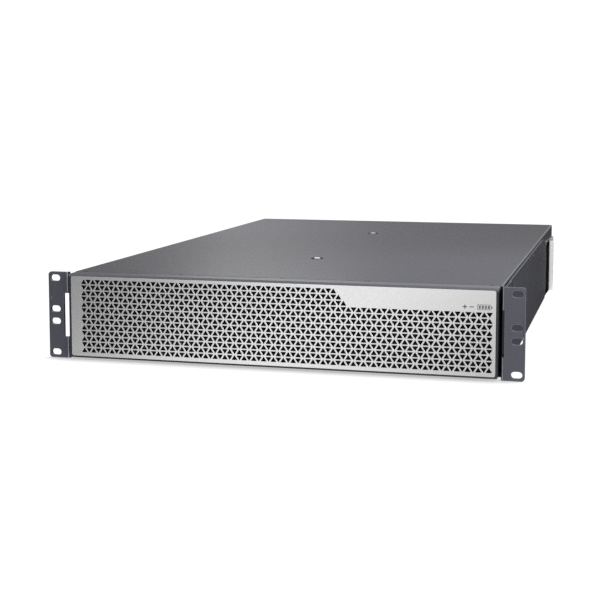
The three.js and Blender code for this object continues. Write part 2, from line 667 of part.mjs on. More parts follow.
// The finned sink that cools the switching devices of the board.
function heatSink() {
  const base = box(-196, -76, 560, 596, 24, 29);
  const fins = [];
  for (let index = 0; index < 8; index += 1)
    fins.push(box(-196, -76, 560 + 4.9 * index, 561.7 + 4.9 * index, 28, 52));
  return join(base, ...fins);
}

function bmsBoard() {
  const board = box(-204, -60, 520, 640, 16, 17.6);
  const parts = [
    box(-198, -174, 604, 632, 17, 27),
    box(-150, -120, 606, 630, 17, 21),
    box(-108, -88, 606, 626, 17, 30),
    box(-196, -150, 526, 540, 17, 25),
    box(-130, -80, 526, 544, 17, 22),
  ];
  return join(board, ...parts);
}

function boardCarrier() {
  const tray = cut(box(-208, -56, 516, 644, FLOOR + GAP, 15.6), box(-206, -58, 518, 642, FLOOR + 2, 16));
  const posts = [-200, -64].flatMap((x) => [524, 636].map((y) => post(x, y, 3.5, FLOOR + 1, 15.6, 8)));
  return join(tray, ...posts);
}

function contactor() {
  const body = box(16, 64, 565, 620, FLOOR + GAP, 52);
  const terminals = [28, 52].map((x) => post(x, 592, 5, 51, 60, 10));
  return join(body, ...terminals);
}

function mainFuse() {
  const barrel = spindle(0, 0, 11, -22, 22, 14).rotateZ(Math.PI / 2).translate(98, 568, 26);
  const blades = box(91, 105, 530, 606, 24.8, 27.2);
  return join(barrel, blades);
}

function currentShunt() {
  const ends = [box(-30, -4, 572, 586, 20, 28), box(-30, -4, 610, 624, 20, 28)];
  const strips = [-26, -18, -10].map((x) => box(x, x + 3, 580, 616, 22, 26));
  return join(...ends, ...strips);
}

// The sense harness: a thin loom along the middle gap and round to the board.
function senseHarness() {
  const seam = BLOCK.front + BLOCK.length;
  const route = new THREE.CatmullRomCurve3([
    new THREE.Vector3(0, BLOCK.front + 40, 70),
    new THREE.Vector3(0, seam, 70),
    new THREE.Vector3(0, seam + 180, 70),
    new THREE.Vector3(-2, 504, 62),
    new THREE.Vector3(-20, 513, 40),
    new THREE.Vector3(-66, 512, 34),
    new THREE.Vector3(-104, 516, 32),
    new THREE.Vector3(-112, 534, 27),
  ]);
  const section = new THREE.Shape();
  section.absarc(0, 0, 2.4, 0, 2 * Math.PI);
  const settings = { extrudePath: route, steps: 26, curveSegments: 8, bevelEnabled: false };
  return new THREE.ExtrudeGeometry(section, settings);
}

function addPowerSection() {
  add('bms_board', bmsBoard(), boardGreen);
  add('bms_heat_sink', heatSink(), castAluminium);
  add('bms_carrier', boardCarrier(), blackPlastic);
  add('contactor', contactor(), blackPlastic);
  add('main_fuse', mainFuse(), fishPaper);
  add('current_shunt', currentShunt(), copper);
  add('sense_harness', senseHarness(), blackPlastic);
}

// ---------------------------------------------------------------- the whole unit

add('chassis_base', chassisBase(), blackSteel);
add('top_cover', topCover(), charcoalPaint);
add('inner_front_panel', innerFrontPanel(), blackSteel);
add('rear_panel', rearPanel(), charcoalPaint);
for (const [place, y] of Object.entries(LID_SCREW_DEPTHS)) {
  add(`cross_beam_${place}`, crossBeam(y), blackSteel);
  add(`cover_screw_${place}`, lidScrew(y), screwSteel);
}

add('rack_ear_right', rackEar(FINGER_NOTCH.right), charcoalPaint);
addMirrored('rack_ear_left', rackEar(FINGER_NOTCH.left), charcoalPaint);
add('ear_screw_right', earScrew(), blackSteel);
addMirrored('ear_screw_left', earScrew(), blackSteel);
add('rear_bracket_right', rearBracket(), zinc);
addMirrored('rear_bracket_left', rearBracket(), zinc);
for (const level of ['upper', 'lower']) {
  add(`bracket_screw_right_${level}`, bracketScrew(BRACKET_SCREW[level]), screwSteel);
  addMirrored(`bracket_screw_left_${level}`, bracketScrew(BRACKET_SCREW[level]), screwSteel);
}

add('bezel_frame', bezelFrame(), bezelPlastic);
add('bezel_grille', bezelGrille(), silverPlate);
add('dust_filter', dustFilter(), filterFoam);

addFans();
addConnectors();
addControls();
addBattery();
addPowerSection();

unit.position.y = -(BEZEL_FRONT + BRACKET.rear) / 2;

const object = new THREE.Group();
object.add(unit);

export default object;
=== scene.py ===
"""Looks of a two-unit rack battery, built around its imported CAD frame."""

import json
import math

import bmesh
import bpy
from mathutils import Matrix, Vector


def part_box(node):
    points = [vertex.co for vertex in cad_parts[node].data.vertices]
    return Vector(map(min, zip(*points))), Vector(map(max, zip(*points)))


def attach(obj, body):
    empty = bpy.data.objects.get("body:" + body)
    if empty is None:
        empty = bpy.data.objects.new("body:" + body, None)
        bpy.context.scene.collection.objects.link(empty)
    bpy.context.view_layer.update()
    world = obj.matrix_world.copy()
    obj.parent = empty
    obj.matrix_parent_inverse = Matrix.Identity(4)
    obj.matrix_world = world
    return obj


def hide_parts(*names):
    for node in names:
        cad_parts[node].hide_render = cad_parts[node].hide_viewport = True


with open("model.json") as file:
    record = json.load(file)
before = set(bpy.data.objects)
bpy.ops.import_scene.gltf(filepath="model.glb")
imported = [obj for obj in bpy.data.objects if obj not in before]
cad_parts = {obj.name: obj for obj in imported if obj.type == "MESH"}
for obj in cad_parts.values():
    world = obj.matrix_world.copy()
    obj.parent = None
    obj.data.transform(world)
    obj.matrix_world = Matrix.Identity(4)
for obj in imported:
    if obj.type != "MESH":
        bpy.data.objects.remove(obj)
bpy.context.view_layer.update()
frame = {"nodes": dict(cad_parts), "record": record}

MM = 0.001

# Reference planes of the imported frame
EAR_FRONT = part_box("rack_ear_right")[0].y
GRILLE_LOW, GRILLE_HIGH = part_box("bezel_grille")
RAIL_LEVEL = GRILLE_HIGH.z


# ------------------------------------------------------------------ node helpers

def feed(tree, socket, value):
    """Gives a node's input a constant or the output of another node."""
    if isinstance(value, bpy.types.NodeSocket):
        tree.links.new(value, socket)
    else:
        socket.default_value = value


def math_node(tree, operation, *values):
    node = tree.nodes.new("ShaderNodeMath")
    node.operation = operation
    for socket, value in zip(node.inputs, values):
        feed(tree, socket, value)
    return node.outputs[0]


def split_vector(tree, vector):
    node = tree.nodes.new("ShaderNodeSeparateXYZ")
    tree.links.new(vector, node.inputs[0])
    return node.outputs


def value_range(tree, factor, low, high, from_low=0.3, from_high=0.7):
    """Runs from low to high while the factor runs from from_low to from_high."""
    node = tree.nodes.new("ShaderNodeMapRange")
    node.inputs["From Min"].default_value = from_low
    node.inputs["From Max"].default_value = from_high
    node.inputs["To Min"].default_value = low
    node.inputs["To Max"].default_value = high
    tree.links.new(factor, node.inputs["Value"])
    return node.outputs["Result"]


def ramp(tree, factor, stops):
    """A colour along a factor from 0 to 1; each stop is (position, colour)."""
    node = tree.nodes.new("ShaderNodeValToRGB")
    elements = node.color_ramp.elements
    while len(elements) < len(stops):
        elements.new(0.5)
    for element, (position, color) in zip(elements, stops):
        element.position = position
        element.color = (*color, 1)
    tree.links.new(factor, node.inputs["Fac"])
    return node.outputs["Color"]


def mix_colors(tree, factor, first, second):
    node = tree.nodes.new("ShaderNodeMix")
    node.data_type = "RGBA"
    for index, value in ((0, factor), (6, first), (7, second)):
        feed(tree, node.inputs[index], value)
    return node.outputs[2]


def object_coordinates(tree, scale=(1, 1, 1)):
    coordinates = tree.nodes.new("ShaderNodeTexCoord")
    mapping = tree.nodes.new("ShaderNodeMapping")
    mapping.inputs["Scale"].default_value = scale
    tree.links.new(coordinates.outputs["Object"], mapping.inputs["Vector"])
    return mapping.outputs["Vector"]


def object_normal(tree):
    """The surface's direction in the object's own frame, as its absolute X and its Y."""
    x, y, _ = split_vector(tree, tree.nodes.new("ShaderNodeTexCoord").outputs["Normal"])
    return math_node(tree, "ABSOLUTE", x), y


def noise(tree, vector, scale, detail=2.0, roughness=0.5):
    node = tree.nodes.new("ShaderNodeTexNoise")
    node.inputs["Scale"].default_value = scale
    node.inputs["Detail"].default_value = detail
    node.inputs["Roughness"].default_value = roughness
    tree.links.new(vector, node.inputs["Vector"])
    return node.outputs["Fac"]


def bump(tree, shader, height, distance):
    node = tree.nodes.new("ShaderNodeBump")
    node.inputs["Distance"].default_value = distance
    node.inputs["Strength"].default_value = 1.0
    tree.links.new(height, node.inputs["Height"])
    tree.links.new(node.outputs["Normal"], shader.inputs["Normal"])


def shades(color, low, high):
    """Two shades of one colour, for a soft variation over a surface."""
    return [tuple(c * low for c in color), tuple(c * high for c in color)]


def new_material(name):
    material = bpy.data.materials.new(name)
    material.use_nodes = True
    tree = material.node_tree
    shader = next(n for n in tree.nodes if n.type == "BSDF_PRINCIPLED")
    return material, tree, shader


# ------------------------------------------------------------------ camera and floor

SENSOR_WIDTH = 36
LENS = 76.6
LENS_SHIFT = -0.1
CAMERA_PLACE = (0.3389, EAR_FRONT - 1.1814, 0.2483)
CAMERA_PITCH = 0.0989
CAMERA_YAW = 0.26
CAMERA_REACH = 50

FLOOR_REACH = 30
FLOOR_DROP = 0.2 * MM
# How far the floor's contact shadow reaches, the side on which cover darkens the paper, and how
# bright the paper is from almost covered to fully open.
SHADOW_REACH = 22 * MM
SHADOW_SIDE = (0.72, 0.62, 0.3)
PAPER_LEVEL = (0.07, 1.1)
OPEN_SHARE = (0.05, 0.9)


def link(obj):
    bpy.context.scene.collection.objects.link(obj)
    return obj


def make_camera():
    """A long lens a little above and to the right of the front, with the horizon kept level."""
    data = bpy.data.cameras.new("camera")
    data.sensor_width = SENSOR_WIDTH
    data.lens = LENS
    data.shift_y = LENS_SHIFT
    data.clip_end = CAMERA_REACH
    camera = link(bpy.data.objects.new("camera", data))
    camera.location = CAMERA_PLACE
    camera.rotation_euler = (math.pi / 2 - CAMERA_PITCH, 0, CAMERA_YAW)
    bpy.context.scene.camera = camera


def floor_paper():
    """White glowing paper with a painted shadow only close to what stands on it."""
    material, tree, shader = new_material("floor_paper")
    side = tree.nodes.new("ShaderNodeCombineXYZ")
    for socket, share in zip(side.inputs, SHADOW_SIDE):
        socket.default_value = share
    cover = tree.nodes.new("ShaderNodeAmbientOcclusion")
    cover.samples = 8
    cover.inputs["Distance"].default_value = SHADOW_REACH
    tree.links.new(side.outputs[0], cover.inputs["Normal"])
    level = value_range(tree, cover.outputs["AO"], *PAPER_LEVEL, *OPEN_SHARE)
    dark, light = shades((1, 1, 1), 0.99, 1.0)
    color = ramp(tree, noise(tree, object_coordinates(tree), scale=3), [(0.3, dark), (0.7, light)])
    shader.inputs["Base Color"].default_value = (0, 0, 0, 1)
    shader.inputs["Roughness"].default_value = 1.0
    shader.inputs["Specular IOR Level"].default_value = 0.0
    tree.links.new(color, shader.inputs["Emission Color"])
    tree.links.new(level, shader.inputs["Emission Strength"])
    return material


def make_floor():
    """A plain white floor that runs far past the camera's view."""
    mesh = bpy.data.meshes.new("floor")
    corners = [(x * FLOOR_REACH, y * FLOOR_REACH, 0) for x, y in ((-1, -1), (1, -1), (1, 1), (-1, 1))]
    mesh.from_pydata(corners, [], [(0, 1, 2, 3)])
    floor = link(bpy.data.objects.new("floor", mesh))
    floor.location.z = -FLOOR_DROP
    floor.data.materials.append(floor_paper())
    floor.visible_glossy = False
    floor.visible_diffuse = False


# ------------------------------------------------------------------ studio light

# Light levels by direction. Across is X over depth and rise is Z over depth.
STUDIO_TINT = (0.97, 0.98, 1.03)
WHITE_LEVEL = 1.02
LEAST_DEPTH = 0.05
FRONT_TO_REAR = (-0.15, 0.15)
HORIZON = (-0.08, 0.02)
FRONT_SPAN = (-0.6, 1.2)
FRONT_LEVELS = [
    (-0.55, 0.26), (-0.36, 0.28), (-0.27, 0.36), (-0.2, 0.82), (-0.12, 1.4),
    (-0.05, 1.35), (0.02, 0.95), (0.09, 0.55), (0.18, 0.6), (0.3, 1.2), (1.2, 1.2),
]
REAR_SPAN = (-0.7, 0.7)
REAR_LEVELS = [
    (-0.6, 0.2), (-0.44, 0.19), (-0.38, 0.21), (-0.32, 0.45), (-0.26, 0.37), (-0.19, 0.28),
    (-0.1, 0.26), (-0.03, 0.27), (0.03, 0.85), (0.14, 0.85), (0.2, 0.2),
]
REAR_FLOOR_LEVEL = 0.12
# A leaning panel behind: its levels across its width, its lean, and its (rise, level) where it
# is strongest and where it is faintest.
LEAN_SPAN = (-0.8, 0)
LEAN_LEVELS = [(-0.73, 0), (-0.67, 0.7), (-0.62, 1), (-0.57, 0.5), (-0.52, 0)]
LEAN = 3.08
LEAN_STRONG = (0.09, 0.95)
LEAN_FAINT = (0.127, 0.12)


def grey_ramp(tree, factor, span, stops):
    """Light levels along a factor that runs over a span; each stop is (factor, level)."""
    low, high = span
    spread = value_range(tree, factor, 0, 1, *span)
    shares = []
    for at, level in stops:
        shares.append(((at - low) / (high - low), tuple(level * tint for tint in STUDIO_TINT)))
    return ramp(tree, spread, shares)


def rear_light(tree, across, rise, z):
    """The panels behind the object, which fade below the horizon."""
    leaning = math_node(tree, "SUBTRACT", across, math_node(tree, "MULTIPLY", rise, LEAN))
    (strong_rise, strong), (faint_rise, faint) = LEAN_STRONG, LEAN_FAINT
    fade = value_range(tree, rise, strong, faint, strong_rise, faint_rise)
    panel = math_node(tree, "MULTIPLY", grey_ramp(tree, leaning, LEAN_SPAN, LEAN_LEVELS), fade)
    both = math_node(tree, "ADD", grey_ramp(tree, across, REAR_SPAN, REAR_LEVELS), panel)
    above = value_range(tree, z, REAR_FLOOR_LEVEL, 1, *HORIZON)
    return math_node(tree, "MULTIPLY", both, above)


def background(tree, color, strength=1.0):
    node = tree.nodes.new("ShaderNodeBackground")
    feed(tree, node.inputs["Color"], color)
    node.inputs["Strength"].default_value = strength
    return node.outputs[0]


def make_world():
    """White where the camera looks past the object, and a graded grey studio for all other rays.

    The studio has a bright panel in front, which leans to the right, and two softer ones behind.
    """
    world = bpy.data.worlds.new("studio")
    bpy.context.scene.world = world
    world.use_nodes = True
    tree = world.node_tree
    tree.nodes.clear()
    x, y, z = split_vector(tree, tree.nodes.new("ShaderNodeTexCoord").outputs["Generated"])
    depth = math_node(tree, "MAXIMUM", math_node(tree, "ABSOLUTE", y), LEAST_DEPTH)
    across = math_node(tree, "DIVIDE", x, depth)
    rise = math_node(tree, "DIVIDE", z, depth)
    front = grey_ramp(tree, math_node(tree, "SUBTRACT", across, rise), FRONT_SPAN, FRONT_LEVELS)
    rear = rear_light(tree, across, rise, z)
    studio = mix_colors(tree, value_range(tree, y, 0, 1, *FRONT_TO_REAR), front, rear)
    mix = tree.nodes.new("ShaderNodeMixShader")
    path = tree.nodes.new("ShaderNodeLightPath")
    out = tree.nodes.new("ShaderNodeOutputWorld")
    tree.links.new(path.outputs["Is Camera Ray"], mix.inputs[0])
    tree.links.new(background(tree, studio), mix.inputs[1])
    tree.links.new(background(tree, (1, 1, 1, 1), WHITE_LEVEL), mix.inputs[2])
    tree.links.new(mix.outputs[0], out.inputs[0])


def softbox(name, place, target, size, power):
    """A rectangular light at place that faces target."""
    data = bpy.data.lights.new(name, "AREA")
    data.shape = "RECTANGLE"
    data.size, data.size_y = size
    data.energy = power
    data.spread = math.pi
    light = link(bpy.data.objects.new(name, data))
    light.location = place
    light.rotation_euler = (Vector(target) - Vector(place)).to_track_quat("-Z", "Y").to_euler()
    light.visible_camera = False


def make_lights():
    """A key light near the front right corner, one over the front of the lid and one over its rear."""
    key = (0.6, EAR_FRONT - 0.3, 0.5)
    front = (0.24, EAR_FRONT + 0.16, 0.42)
    rear = (-0.2, 0.24, 0.4)
    softbox("key", key, (0.2, EAR_FRONT + 0.05, 0.05), (0.4, 0.3), 2.8)
    softbox("front", front, (*front[:2], 0), (0.3, 0.24), 1.1)
    softbox("rear", rear, (*rear[:2], 0), (0.26, 0.3), 0.9)


# ------------------------------------------------------------------ materials

CHARCOAL = (0.078, 0.079, 0.098)
# Painted highlight on the ears' bend
BEND_HIGHLIGHT_COLOR = (0.42, 0.42, 0.44)
# Painted shade on the walls of the ears' slots and the edges of their finger notch
CUT_EDGE_SHADE_COLOR = (0.006, 0.006, 0.007)
SILVER_EDGE_COLOR = (0.004, 0.004, 0.004)
# Painted highlight on the bezel's top rail
RAIL_HIGHLIGHT_COLOR = (0.15, 0.152, 0.165)

# Depths behind the ears' front: the slots' walls lie in the flange, and the notch runs past the bend.
FLANGE_WALLS = (0.3 * MM, 3.4 * MM)
BEND_END = 5 * MM


def edge_highlight_mask(tree, radius):
    """Near 1 along an object's sharp edges and 0 on its flats."""
    rounded = tree.nodes.new("ShaderNodeBevel")
    rounded.samples = 4
    rounded.inputs["Radius"].default_value = radius
    geometry = tree.nodes.new("ShaderNodeNewGeometry")
    dot = tree.nodes.new("ShaderNodeVectorMath")
    dot.operation = "DOT_PRODUCT"
    tree.links.new(rounded.outputs["Normal"], dot.inputs[0])
    tree.links.new(geometry.outputs["True Normal"], dot.inputs[1])
    return value_range(tree, dot.outputs["Value"], 1, 0, 0.85, 1.0)


def bend_highlight_mask(tree, backward):
    """1 where the surface turns from the ears' front to their side plate, which takes a painted
    highlight.
    """
    turned_away = value_range(tree, backward, 0, 1, -0.99, -0.95)
    not_yet_sideways = value_range(tree, backward, 1, 0, -0.3, -0.2)
    return math_node(tree, "MULTIPLY", not_yet_sideways, turned_away)


def cut_edge_shade_mask(tree, sideways, backward):
    """1 on the walls of the ears' slots and on the front-facing edges of their finger notch, which take
    painted shade.
    """
    depth = split_vector(tree, object_coordinates(tree))[1]
    first, last = FLANGE_WALLS
    behind_face = value_range(tree, depth, 0, 1, EAR_FRONT + first, EAR_FRONT + first + 0.2 * MM)
    before_back = value_range(tree, depth, 1, 0, EAR_FRONT + last - 0.2 * MM, EAR_FRONT + last)
    in_sheet = math_node(tree, "MULTIPLY", behind_face, before_back)
    slot_wall_shade = math_node(tree, "MULTIPLY", in_sheet, value_range(tree, sideways, 0, 1, 0.5, 0.7))
    past_bend = value_range(tree, depth, 0, 1, EAR_FRONT + BEND_END, EAR_FRONT + BEND_END + 1 * MM)
    notch_edge_shade = math_node(tree, "MULTIPLY", past_bend, value_range(tree, backward, 1, 0, -0.8, -0.6))
    return math_node(tree, "MAXIMUM", slot_wall_shade, notch_edge_shade)


def ear_painted_light(tree, paint):
    """The ears' paint gets a painted highlight on the bend, and painted shade on the walls of the slots
    and the edges of the finger notch.
    """
    sideways, backward = object_normal(tree)
    paint = mix_colors(tree, bend_highlight_mask(tree, backward), paint, (*BEND_HIGHLIGHT_COLOR, 1))
    return mix_colors(tree, cut_edge_shade_mask(tree, sideways, backward), paint, (*CUT_EDGE_SHADE_COLOR, 1))


def powder_coat(name, color, rough, on_ears=False, gloss=0.5):
    """Powder coat on sheet steel: orange peel, a slow change of tone and a painted highlight along sharp
    edges.
    """
    material, tree, shader = new_material(name)
    vector = object_coordinates(tree)
    dark, light = shades(color, 0.94, 1.06)
    paint = ramp(tree, noise(tree, vector, scale=4, detail=3), [(0.3, dark), (0.7, light)])
    # A much lighter colour along sharp edges: a painted highlight
    edge_highlight_color = tuple(min(1, 3.2 * c + 0.02) for c in color)
    paint = mix_colors(tree, edge_highlight_mask(tree, 0.7 * MM), paint, (*edge_highlight_color, 1))
    if on_ears:
        paint = ear_painted_light(tree, paint)
    tree.links.new(paint, shader.inputs["Base Color"])
    shader.inputs["Specular IOR Level"].default_value = gloss
    fine = noise(tree, vector, scale=900)
    tree.links.new(value_range(tree, fine, rough - 0.05, rough + 0.05), shader.inputs["Roughness"])
    bump(tree, shader, noise(tree, vector, scale=650), 0.005 * MM)
    return material


def bezel_finish(name, color, rail_highlight_color):
    """Satin moulded plastic, with a painted highlight on the rail along its top."""
    material, tree, shader = new_material(name)
    vector = object_coordinates(tree)
    height = split_vector(tree, vector)[2]
    # The rail along the top is lighter: a painted highlight
    rail = value_range(tree, height, 0, 1, RAIL_LEVEL - 1 * MM, RAIL_LEVEL)
    cloud = noise(tree, vector, scale=30, detail=3)
    dark, light = shades(color, 0.93, 1.07)
    body = ramp(tree, cloud, [(0.3, dark), (0.7, light)])
    tree.links.new(mix_colors(tree, rail, body, (*rail_highlight_color, 1)), shader.inputs["Base Color"])
    fine = noise(tree, vector, scale=1600)
    tree.links.new(value_range(tree, fine, 0.3, 0.44), shader.inputs["Roughness"])
    bump(tree, shader, cloud, 0.02 * MM)
    return material


def satin_silver(name, color, rough=0.17):
    """Satin silver lacquer on the front of a sheet, with every face that does not look forward near
    black.
    """
    material, tree, shader = new_material(name)
    vector = object_coordinates(tree)
    fine = noise(tree, vector, scale=1400, roughness=0.6)
    dark, light = shades(color, 0.98, 1.02)
    lacquer = ramp(tree, fine, [(0.35, dark), (0.65, light)])
    _, backward = object_normal(tree)
    cut_edge = value_range(tree, backward, 0, 1, -0.75, -0.45)
    lacquer = mix_colors(tree, cut_edge, lacquer, (*SILVER_EDGE_COLOR, 1))
    tree.links.new(lacquer, shader.inputs["Base Color"])
    shader.inputs["Metallic"].default_value = 0.9
    grain = noise(tree, vector, scale=1100)
    tree.links.new(value_range(tree, grain, rough - 0.04, rough + 0.04), shader.inputs["Roughness"])
    bump(tree, shader, fine, 0.004 * MM)
    return material


def moulded(name, color, rough=0.5, gloss=0.5):
    """Moulded plastic with a fine spark-eroded texture."""
    material, tree, shader = new_material(name)
    vector = object_coordinates(tree)
    dark, light = shades(color, 0.93, 1.07)
    cloud = ramp(tree, noise(tree, vector, scale=30, detail=3), [(0.3, dark), (0.7, light)])
    tree.links.new(cloud, shader.inputs["Base Color"])
    shader.inputs["Specular IOR Level"].default_value = gloss
    fine = noise(tree, vector, scale=1600)
    tree.links.new(value_range(tree, fine, rough - 0.07, rough + 0.07), shader.inputs["Roughness"])
    bump(tree, shader, fine, 0.04 * MM)
    return material


def plated(name, color, rough, streak=(1, 1, 1), metallic=1.0):
    """Plated or drawn metal; its streaks run across the axis on which streak is large."""
    material, tree, shader = new_material(name)
    streaks = noise(tree, object_coordinates(tree, streak), scale=40, detail=4, roughness=0.6)
    dark, light = shades(color, 0.86, 1.08)
    tree.links.new(ramp(tree, streaks, [(0.3, dark), (0.7, light)]), shader.inputs["Base Color"])
    shader.inputs["Metallic"].default_value = metallic
    tree.links.new(value_range(tree, streaks, rough - 0.08, rough + 0.12), shader.inputs["Roughness"])
    bump(tree, shader, streaks, 0.02 * MM)
    return material


def foam(name, color):
    """Open-cell filter foam."""
    material, tree, shader = new_material(name)
    cells = tree.nodes.new("ShaderNodeTexVoronoi")
    cells.inputs["Scale"].default_value = 700
    tree.links.new(object_coordinates(tree), cells.inputs["Vector"])
    distance = cells.outputs["Distance"]
    dark, light = shades(color, 0.5, 1.4)
    tree.links.new(ramp(tree, distance, [(0.1, dark), (0.7, light)]), shader.inputs["Base Color"])
    tree.links.new(value_range(tree, distance, 0.9, 1.0, 0, 1), shader.inputs["Roughness"])
    bump(tree, shader, distance, 0.4 * MM)
    return material


MATERIALS = {
    "charcoal_paint": powder_coat("charcoal_paint", CHARCOAL, 0.27),
    "ear_paint": powder_coat("ear_paint", CHARCOAL, 0.27, on_ears=True),
    "black_steel": powder_coat("black_steel", (0.005, 0.005, 0.006), 0.6, gloss=0.2),
    "silver_plate": satin_silver("silver_plate", (0.742, 0.735, 0.7)),
    "bezel_plastic": bezel_finish("bezel_plastic", (0.024, 0.025, 0.029), RAIL_HIGHLIGHT_COLOR),
    "black_plastic": moulded("black_plastic", (0.012, 0.012, 0.013)),
    "matt_rubber": moulded("matt_rubber", (0.006, 0.006, 0.006), 0.9, gloss=0.02),
    "filter_foam": foam("filter_foam", (0.006, 0.006, 0.007)),
    # Near white and barely metallic: the plating's bright reflection painted into its colour
    "zinc_plate": plated("zinc_plate", (0.96, 0.97, 0.93), 0.3, (1, 1, 60), metallic=0.1),
    "screw_steel": plated("screw_steel", (0.62, 0.63, 0.65), 0.25),
    # Near white and not metallic: a painted glint on the lid screws and their collars
    "screw_painted_glint": plated("screw_painted_glint", (0.95, 0.95, 0.95), 0.35, metallic=0.0),
    "copper": plated("copper", (0.62, 0.28, 0.15), 0.35, (1, 30, 1)),
    "tinned_contact": plated("tinned_contact", (0.68, 0.68, 0.66), 0.25, (1, 30, 1)),
    "cell_wrap": moulded("cell_wrap", (0.02, 0.06, 0.18), 0.35),
    "circuit_board": moulded("circuit_board", (0.01, 0.09, 0.035), 0.4),
    "cast_aluminium": plated("cast_aluminium", (0.5, 0.51, 0.52), 0.4, (30, 1, 1)),
    "fish_paper": moulded("fish_paper", (0.55, 0.48, 0.34), 0.8),
    "red_plastic": moulded("red_plastic", (0.42, 0.015, 0.012), 0.35),
    "green_lens": moulded("green_lens", (0.16, 0.6, 0.28), 0.15),
    "button_plastic": moulded("button_plastic", (0.02, 0.021, 0.024), 0.3),
    "symbol_ink": moulded("symbol_ink", (0.16, 0.16, 0.165)),
}


def dress(obj, finish):
    obj.data.materials.clear()
    obj.data.materials.append(MATERIALS[finish])


# ------------------------------------------------------------------ CAD nodes: bevels and materials

USUAL_ROUNDING = 0.25 * MM
EDGE_ROUNDINGS = {"bezel_frame": 0.7 * MM, "top_cover": 0.4 * MM}
SLOT_OF = {part["node"]: part["material_slot"] for part in frame["record"]["subparts"]}
FINISH_OF = {
    "rack_ear_left": "ear_paint", "rack_ear_right": "ear_paint",
    "cover_screw_front": "screw_painted_glint", "cover_screw_rear": "screw_painted_glint",
}


def bevel_edges(obj, width):
    """Merges the flat facets of a CAD solid and rounds its sharp edges."""
    flat = obj.modifiers.new("flat", "DECIMATE")
    flat.decimate_type = "DISSOLVE"
    flat.angle_limit = math.radians(1)
    rounding = obj.modifiers.new("rounding", "BEVEL")
    rounding.width = width
    rounding.segments = 2
    rounding.limit_method = "ANGLE"
    rounding.angle_limit = math.radians(40)


def finish_frame():
    for name, node in frame["nodes"].items():
        dress(node, FINISH_OF.get(name, SLOT_OF[name]))
        bevel_edges(node, EDGE_ROUNDINGS.get(name, USUAL_ROUNDING))


# ------------------------------------------------------------------ building pieces

def add_piece(name, mesh, finish, body, place=(0, 0, 0)):
    """Puts a mesh in the scene as a piece that moves with one of the part's bodies."""
    piece = link(bpy.data.objects.new(name, mesh))
    piece.location = place
    dress(piece, finish)
    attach(piece, body)
    return piece


def rounded_polygon(corners, radius, steps):
    """The corners' outline with each corner turned into an arc of the given radius."""
    points = []
    count = len(corners)
    for index in range(count):
        here = Vector(corners[index])
        before = (Vector(corners[index - 1]) - here).normalized()
        after = (Vector(corners[(index + 1) % count]) - here).normalized()
        half = before.angle(after) / 2
        reach = radius / math.tan(half)
        centre = here + (before + after).normalized() * (radius / math.sin(half))
        start = here + before * reach - centre
        end = here + after * reach - centre
        sweep = start.angle_signed(end)
        for step in range(steps + 1):
            turn = -sweep * step / steps
            points.append(centre + Matrix.Rotation(turn, 2) @ start)
    return points


def add_outline(curve, points):
    spline = curve.splines.new("POLY")
    spline.points.add(len(points) - 1)
    for point, (x, y) in zip(spline.points, points):
        point.co = (x, y, 0, 1)
    spline.use_cyclic_u = True


def flat_plate(name, outlines, thickness, rounding):
    """A plate along Y from outlines in X and Z: the first is its edge and the others are holes."""
    curve = bpy.data.curves.new(name, "CURVE")
    curve.dimensions = "2D"
    curve.fill_mode = "BOTH"
    for points in outlines:
        add_outline(curve, points)
    curve.extrude = thickness / 2 - rounding
    curve.bevel_depth = rounding
    curve.bevel_resolution = 1
    curve.offset = -rounding
    maker = link(bpy.data.objects.new(name + "_maker", curve))
    bpy.context.view_layer.update()
    graph = bpy.context.evaluated_depsgraph_get()
    mesh = bpy.data.meshes.new_from_object(maker.evaluated_get(graph), depsgraph=graph)
    bpy.data.objects.remove(maker)
    mesh.transform(Matrix.Rotation(math.pi / 2, 4, "X"))
    return mesh


def join_loops(shape, low, high):
    """A band of faces between two closed loops with the same number of points."""
    count = len(low)
    for step in range(count):
        after = (step + 1) % count
        shape.faces.new((low[step], low[after], high[after], high[step]))


def mesh_from(shape, name):
    bmesh.ops.recalc_face_normals(shape, faces=shape.faces)
    mesh = bpy.data.meshes.new(name)
    shape.to_mesh(mesh)
    shape.free()
    return mesh


def lofted(name, sections):
    """A closed skin through sections with the same number of points, each a list of 3-D points."""
    shape = bmesh.new()
    loops = [[shape.verts.new(point) for point in section] for section in sections]
    for low, high in zip(loops, loops[1:]):
        join_loops(shape, low, high)
    shape.faces.new(list(reversed(loops[0])))
    shape.faces.new(loops[-1])
    return mesh_from(shape, name)


def turned(name, centre, profile, steps=40):
    """A ring turned from a closed profile of (radius, height) points around a vertical axis."""
    shape = bmesh.new()
    rings = []
    for reach, rise in profile:
        ring = []
        for step in range(steps):
            angle = 2 * math.pi * step / steps
            point = centre + Vector((reach * math.cos(angle), reach * math.sin(angle), rise))
            ring.append(shape.verts.new(point))
        rings.append(ring)
    for inner, outer in zip(rings, rings[1:] + rings[:1]):
        join_loops(shape, inner, outer)
    return mesh_from(shape, name)


# ------------------------------------------------------------------ perforated front plate

PLATE_COLUMNS = 83
PLATE_ROWS = 13
COLUMN_STEP = 4.97 * MM
ROW_STEP = 5.795 * MM
FIRST_COLUMN = -199.7 * MM
TOP_ROW = 79.4 * MM
HOLE_BASE = 6.0 * MM
HOLE_HEIGHT = 4.82 * MM
HOLE_ROUNDING = 0.28 * MM
SHEET = 0.6 * MM
SHEET_CORNER = 2 * MM
SHEET_ROUNDING = 0.05 * MM
SHORT_ROWS = {0: 53, 1: 54, 2: 55}


def hole_outline(x, z, up):
    """A triangle of the perforation around its middle height, point up or point down."""
    half, rise = HOLE_BASE / 2, HOLE_HEIGHT / 2
    sense = 1 if up else -1
    base = z - sense * (rise - HOLE_ROUNDING / 2)
    corners = [(x - half, base), (x + half, base), (x, base + sense * HOLE_HEIGHT)]
    return rounded_polygon(corners, HOLE_ROUNDING, steps=2)


